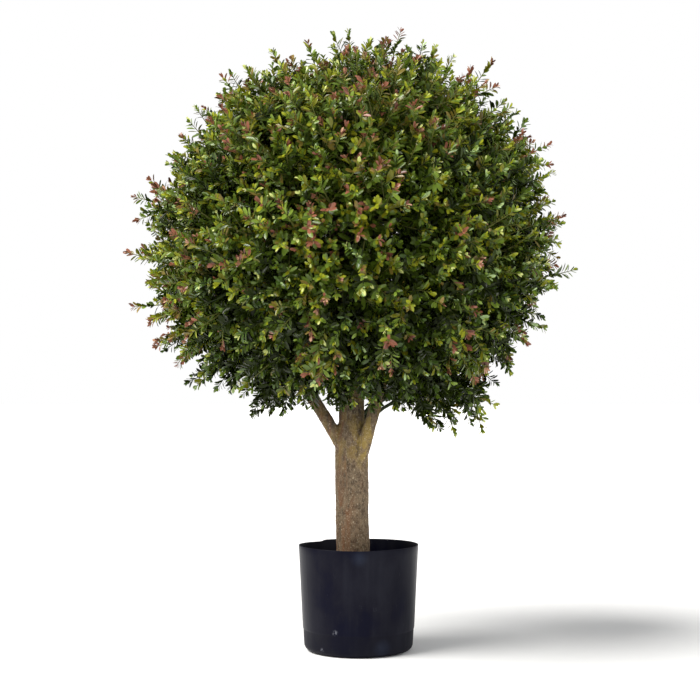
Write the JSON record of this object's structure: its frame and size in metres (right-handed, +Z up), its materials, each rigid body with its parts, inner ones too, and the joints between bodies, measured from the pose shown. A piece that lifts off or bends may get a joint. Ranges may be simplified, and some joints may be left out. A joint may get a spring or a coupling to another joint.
{
  "type": "artificial lollipop ball topiary in a nursery pot",
  "caption": "Artificial topiary: a dense ball of small box-like leaves on a forked timber trunk, set in the cement fill of a plain black plastic pot.",
  "frame": {"origin": "centre of the pot's flat underside", "axes": "+Z up along the trunk, -Y is the front, +X to the right seen from the front"},
  "size_m": [0.6136, 0.5746, 0.8507],
  "materials": {
    "pot_plastic": "moulded blue-black plastic, satin, lightly scuffed",
    "cement": "rough cast grey cement",
    "bark": "rough grey-brown bark with reddish patches and pale specks",
    "foliage": "semi-gloss moulded leaves, dark to yellow green with burgundy tips"
  },
  "bodies": {
    "root": {"pot": "pot_plastic", "pot_fill": "cement", "trunk": "bark", "bough_left": "bark", "bough_right": "bark", "foliage_top": "foliage", "foliage_left": "foliage", "foliage_right": "foliage", "foliage_front": "foliage", "foliage_back": "foliage"}
  },
  "joints": []
}
